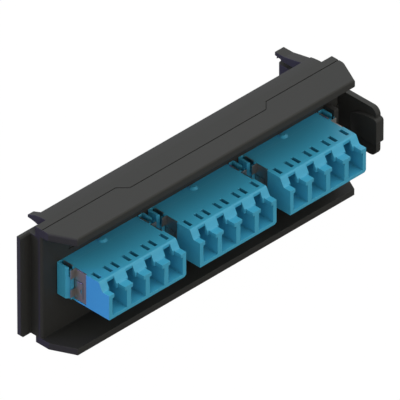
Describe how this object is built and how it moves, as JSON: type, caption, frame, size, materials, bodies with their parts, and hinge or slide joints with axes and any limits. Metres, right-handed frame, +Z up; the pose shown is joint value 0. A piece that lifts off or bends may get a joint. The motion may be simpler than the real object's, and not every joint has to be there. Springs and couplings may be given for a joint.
{
  "type": "fibre adapter plate",
  "caption": "Black moulded panel plate with a visor, shelf and spring latch, carrying a row of aqua fibre coupling blocks with duplex-style plug ports on both sides.",
  "frame": {"origin": "half way along the plate, in the plane of the wall's front face, on the underside of the bottom shelf", "axes": "+X along the plate towards the latch lever, -Y out of the front ports, +Z up from the shelf to the visor"},
  "size_m": [0.1082, 0.031, 0.0338],
  "materials": {
    "frame_black": "fine matt moulded black",
    "lever_black": "fine matt moulded black",
    "adapter_aqua": "satin moulded aqua",
    "clip_steel": "rolled stainless spring sheet",
    "pin_steel": "drawn steel",
    "sleeve_ceramic": "polished white ceramic"
  },
  "bodies": {
    "plate": {"plate_frame": "frame_black", "adapter_1_front_housing": "adapter_aqua", "adapter_1_rear_housing": "adapter_aqua", "adapter_1_clip_left": "clip_steel", "adapter_1_clip_right": "clip_steel", "adapter_1_sleeve_1": "sleeve_ceramic", "adapter_1_sleeve_2": "sleeve_ceramic", "adapter_1_sleeve_3": "sleeve_ceramic", "adapter_1_sleeve_4": "sleeve_ceramic", "adapter_2_front_housing": "adapter_aqua", "adapter_2_rear_housing": "adapter_aqua", "adapter_2_clip_left": "clip_steel", "adapter_2_clip_right": "clip_steel", "adapter_2_sleeve_1": "sleeve_ceramic", "adapter_2_sleeve_2": "sleeve_ceramic", "adapter_2_sleeve_3": "sleeve_ceramic", "adapter_2_sleeve_4": "sleeve_ceramic", "adapter_3_front_housing": "adapter_aqua", "adapter_3_rear_housing": "adapter_aqua", "adapter_3_clip_left": "clip_steel", "adapter_3_clip_right": "clip_steel", "adapter_3_sleeve_1": "sleeve_ceramic", "adapter_3_sleeve_2": "sleeve_ceramic", "adapter_3_sleeve_3": "sleeve_ceramic", "adapter_3_sleeve_4": "sleeve_ceramic", "latch_pin": "pin_steel", "latch_spring": "pin_steel"},
    "lever": {"latch_lever": "lever_black"}
  },
  "joints": [
    {"name": "latch_release", "type": "hinge", "parent": "plate", "child": "lever", "pos_m": [0.0487, 0.011, 0.0161], "axis": [0, 0, -1], "range_deg": [0, 9], "stiffness_Nm_per_rad": 0.26, "springref_deg": -4.58, "deforming": ["latch_spring"]}
  ]
}
